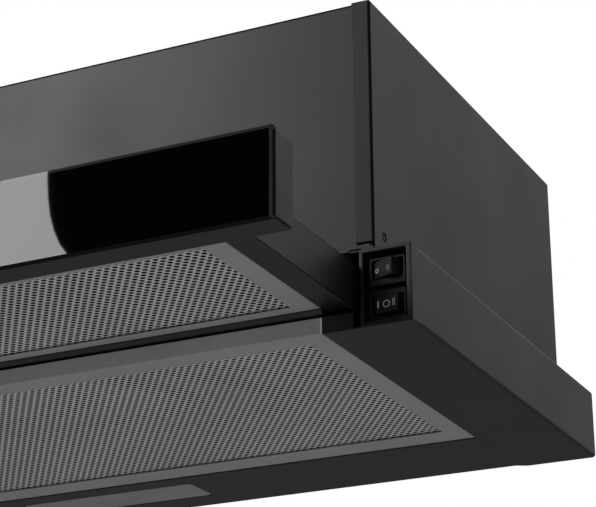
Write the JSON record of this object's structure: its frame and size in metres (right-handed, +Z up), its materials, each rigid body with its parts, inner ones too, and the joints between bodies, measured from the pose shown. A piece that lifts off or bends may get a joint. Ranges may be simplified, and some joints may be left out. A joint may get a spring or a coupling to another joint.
{
  "type": "pull-out range hood",
  "caption": "Built-in cooker hood with a glass-fronted sliding visor, grease filters, lamp, rocker switches and a blower under a round top outlet.",
  "frame": {"origin": "middle of the floor area under the hood, with the drawer pulled out, at the level of the underside", "axes": "+X along the width to the switch side, +Y towards the wall, +Z up"},
  "size_m": [0.598, 0.4186, 0.2062],
  "materials": {
    "black_paint": "satin fine-texture powder coat",
    "dark_plastic": "fine-grained moulded plastic",
    "rocker_plastic": "semi-gloss black plastic",
    "lens": "frosted translucent plastic",
    "white_plastic": "plain moulded plastic",
    "circuit_board": "white solder resist",
    "filter_frame": "grey satin paint",
    "filter_mesh": "perforated grey-finished aluminium",
    "black_glass": "glossy black back-painted glass",
    "zinc": "zinc-plated steel",
    "scroll_plastic": "moulded plastic",
    "impeller_plastic": "moulded plastic",
    "motor_steel": "lacquered steel"
  },
  "bodies": {
    "housing": {"base_pan": "black_paint", "front_beam": "black_paint", "main_filter_catch_rail": "black_paint", "upper_side_right": "black_paint", "upper_side_left": "black_paint", "upper_front_panel": "black_paint", "slide_bracket_right": "black_paint", "slide_bracket_left": "black_paint", "housing_rivets": "black_paint", "upper_back_panel": "black_paint", "upper_top_panel": "black_paint", "switch_housing": "dark_plastic", "left_blank_cover": "dark_plastic", "light_switch_body": "dark_plastic", "fan_switch_body": "dark_plastic", "duct_collar": "dark_plastic", "cable_gland": "dark_plastic", "lamp_lens": "lens", "lamp_housing": "white_plastic", "terminal_box": "white_plastic", "capacitor": "white_plastic", "inlet_ring": "white_plastic", "led_board": "circuit_board", "main_filter_frame": "filter_frame", "main_filter_lower_sheet": "filter_mesh", "main_filter_upper_sheet": "filter_mesh", "main_filter_core": "filter_mesh", "slide_outer_right": "zinc", "slide_outer_left": "zinc", "flap_pin": "zinc", "scroll_screws": "zinc", "capacitor_strap": "zinc", "scroll_shell_right": "scroll_plastic", "scroll_shell_left": "scroll_plastic", "motor": "motor_steel"},
    "drawer": {"drawer_front_profile": "black_paint", "drawer_front_glass": "black_glass", "drawer_end_cap_right": "dark_plastic", "drawer_end_cap_left": "dark_plastic", "drawer_frame": "black_paint", "drawer_cover": "black_paint", "drawer_filter_frame": "filter_frame", "drawer_filter_sheet": "filter_mesh", "drawer_filter_core": "filter_mesh", "slide_inner_right": "zinc", "slide_inner_left": "zinc"},
    "drawer_latch": {"drawer_filter_latch": "filter_frame"},
    "main_latch": {"main_filter_latch": "filter_frame"},
    "cage_right": {"slide_cage_right": "zinc"},
    "cage_left": {"slide_cage_left": "zinc"},
    "light_rocker": {"light_rocker": "rocker_plastic"},
    "fan_rocker": {"fan_rocker": "rocker_plastic"},
    "rotor": {"impeller": "impeller_plastic", "motor_shaft": "zinc"},
    "flap_front": {"flap_front": "dark_plastic"},
    "flap_rear": {"flap_rear": "dark_plastic"}
  },
  "joints": [
    {"name": "drawer_slide", "type": "slide", "parent": "housing", "child": "drawer", "axis": [0, 1, 0], "range_m": [0, 0.127]},
    {"name": "cage_right_slide", "type": "slide", "parent": "housing", "child": "cage_right", "axis": [0, 1, 0], "range_m": [0, 0.0635]},
    {"name": "cage_left_slide", "type": "slide", "parent": "housing", "child": "cage_left", "axis": [0, 1, 0], "range_m": [0, 0.0635]},
    {"name": "main_latch_slide", "type": "slide", "parent": "housing", "child": "main_latch", "axis": [0, 1, 0], "range_m": [0, 0.003], "stiffness_N_per_m": 500, "springref_m": -0.004},
    {"name": "drawer_latch_slide", "type": "slide", "parent": "drawer", "child": "drawer_latch", "axis": [0, 1, 0], "range_m": [0, 0.003], "stiffness_N_per_m": 500, "springref_m": -0.004},
    {"name": "light_rocker_tilt", "type": "hinge", "parent": "housing", "child": "light_rocker", "pos_m": [0.2842, -0.05655, 0.0296], "axis": [0, 0, 1], "range_deg": [0, 22]},
    {"name": "fan_rocker_tilt", "type": "hinge", "parent": "housing", "child": "fan_rocker", "pos_m": [0.2842, -0.05655, 0.0116], "axis": [0, 0, 1], "range_deg": [-11, 11]},
    {"name": "impeller_spin", "type": "hinge", "parent": "housing", "child": "rotor", "pos_m": [0, 0.0584, 0.1076], "axis": [1, 0, 0], "continuous": true},
    {"name": "flap_front_swing", "type": "hinge", "parent": "housing", "child": "flap_front", "pos_m": [0, 0.09725, 0.1882], "axis": [-1, 0, 0], "range_deg": [0, 75]},
    {"name": "flap_rear_swing", "type": "hinge", "parent": "housing", "child": "flap_rear", "pos_m": [0, 0.09725, 0.1882], "axis": [1, 0, 0], "range_deg": [0, 75]}
  ],
  "couplings": [
    {"joint": "cage_right_slide", "follows": "drawer_slide", "ratio": 0.5},
    {"joint": "cage_left_slide", "follows": "drawer_slide", "ratio": 0.5}
  ]
}
